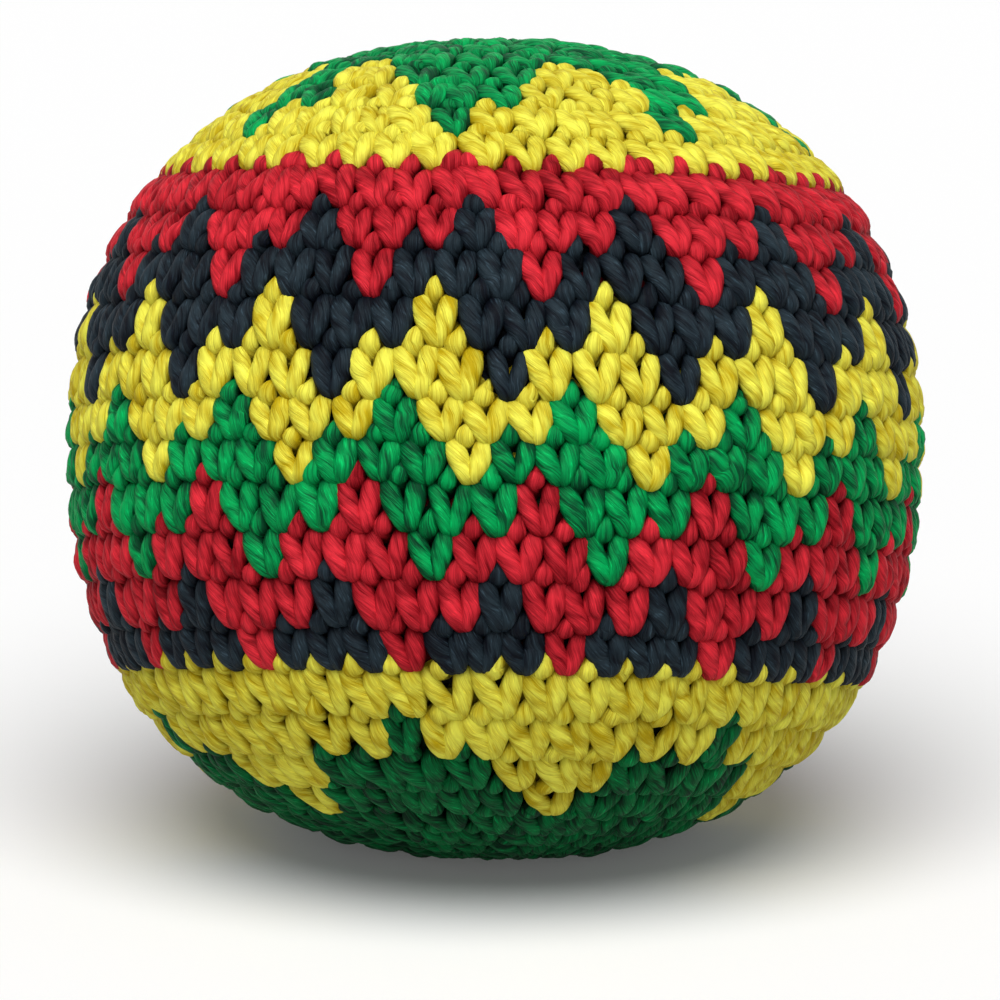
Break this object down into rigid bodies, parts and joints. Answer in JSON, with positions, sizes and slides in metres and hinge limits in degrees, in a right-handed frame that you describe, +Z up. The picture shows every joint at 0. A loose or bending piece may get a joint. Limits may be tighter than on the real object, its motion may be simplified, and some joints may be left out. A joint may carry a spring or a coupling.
{
  "type": "footbag",
  "caption": "Crocheted footbag: round bag of single crochet in zigzag colour zones over a tied pouch of pellets, with a small flat to rest on.",
  "frame": {"origin": "centre of the bounding box, on the plane that the bag rests on", "axes": "+Z up as the bag lies; the front faces -Y; the crochet axis leans back from +Z towards +Y by 15.4 degrees and sideways towards +X by 1.3 degrees"},
  "size_m": [0.0517, 0.0523, 0.0497],
  "materials": {
    "green_yarn": "smooth multifilament crochet yarn, soft sheen",
    "yellow_yarn": "smooth multifilament crochet yarn, soft sheen",
    "red_yarn": "smooth multifilament crochet yarn, soft sheen",
    "black_yarn": "smooth multifilament crochet yarn, soft sheen",
    "liner_cloth": "thin plain-woven cotton, dyed charcoal, matt",
    "tie_thread": "twisted sewing thread, matt",
    "pellets": "moulded polyethylene, satin"
  },
  "bodies": {
    "root": {"bottom_crown_green": "green_yarn", "lower_band_yellow": "yellow_yarn", "lower_zone_black": "black_yarn", "lower_zone_red": "red_yarn", "middle_zone_green": "green_yarn", "middle_zone_yellow": "yellow_yarn", "upper_zone_black": "black_yarn", "upper_zone_red": "red_yarn", "upper_band_yellow": "yellow_yarn", "top_crown_green": "green_yarn", "start_loop": "green_yarn", "closing_loop": "green_yarn", "closing_tail": "green_yarn", "liner_pouch": "liner_cloth", "liner_tie": "tie_thread", "pellet_fill": "pellets"}
  },
  "joints": []
}
